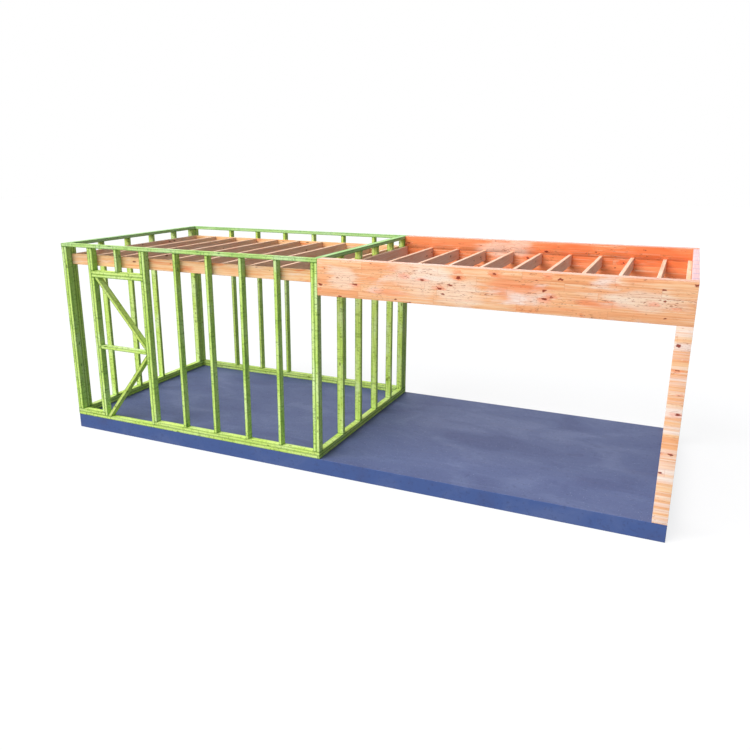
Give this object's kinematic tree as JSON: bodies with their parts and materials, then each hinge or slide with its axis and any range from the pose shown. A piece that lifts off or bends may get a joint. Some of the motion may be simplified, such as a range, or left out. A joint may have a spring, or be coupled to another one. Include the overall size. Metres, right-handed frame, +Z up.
{
  "type": "timber building frame",
  "caption": "Timber frame on a concrete slab: a stud-walled room with a sunken joist roof beside an open carport of laminated beams, joists and corner posts.",
  "frame": {"origin": "centre of the slab's underside, at ground level", "axes": "+X along the front from the stud-walled room towards the carport's open end, +Y from the front to the back, +Z up"},
  "size_m": [8, 3, 2.7],
  "materials": {
    "treated_green_timber": "matte",
    "laminated_spruce": "satin",
    "joist_spruce": "matte",
    "concrete": "matte"
  },
  "bodies": {
    "root": {"back_bottom_plate": "treated_green_timber", "back_left_corner_stud_inner": "treated_green_timber", "back_left_corner_stud_outer": "treated_green_timber", "back_right_corner_stud_inner": "treated_green_timber", "back_right_corner_stud_outer": "treated_green_timber", "back_sole_plate": "treated_green_timber", "back_top_plate": "treated_green_timber", "back_wall_studs": "treated_green_timber", "carport_back_beam": "laminated_spruce", "carport_end_beam": "laminated_spruce", "carport_front_beam": "laminated_spruce", "carport_front_post": "laminated_spruce", "carport_rear_post": "laminated_spruce", "carport_roof_joists": "joist_spruce", "concrete_slab": "concrete", "door_bay_brace_lower": "treated_green_timber", "door_bay_brace_upper": "treated_green_timber", "door_bay_rail": "treated_green_timber", "door_cripple_stud_left": "treated_green_timber", "door_cripple_stud_middle": "treated_green_timber", "door_cripple_stud_right": "treated_green_timber", "door_header_lower": "treated_green_timber", "door_header_upper": "treated_green_timber", "door_jack_stud_left": "treated_green_timber", "door_jack_stud_right": "treated_green_timber", "door_king_stud_left": "treated_green_timber", "door_king_stud_right": "treated_green_timber", "front_bottom_plate_left": "treated_green_timber", "front_bottom_plate_right": "treated_green_timber", "front_left_corner_stud_inner": "treated_green_timber", "front_left_corner_stud_outer": "treated_green_timber", "front_right_corner_stud_inner": "treated_green_timber", "front_right_corner_stud_outer": "treated_green_timber", "front_sole_plate": "treated_green_timber", "front_top_plate": "treated_green_timber", "front_wall_studs": "treated_green_timber", "left_back_end_stud_inner": "treated_green_timber", "left_back_end_stud_outer": "treated_green_timber", "left_bottom_plate": "treated_green_timber", "left_front_end_stud_inner": "treated_green_timber", "left_front_end_stud_outer": "treated_green_timber", "left_sole_plate": "treated_green_timber", "left_top_plate": "treated_green_timber", "left_wall_stud_1": "treated_green_timber", "left_wall_stud_2": "treated_green_timber", "left_wall_stud_3": "treated_green_timber", "left_wall_stud_4": "treated_green_timber", "right_back_end_stud_inner": "treated_green_timber", "right_back_end_stud_outer": "treated_green_timber", "right_bottom_plate": "treated_green_timber", "right_sole_plate": "treated_green_timber", "right_top_plate": "treated_green_timber", "right_wall_stud_1": "treated_green_timber", "right_wall_stud_2": "treated_green_timber", "right_wall_stud_3": "treated_green_timber", "right_wall_stud_4": "treated_green_timber", "room_back_rim_joist": "joist_spruce", "room_front_rim_joist": "joist_spruce", "room_roof_joists": "joist_spruce"}
  },
  "joints": []
}
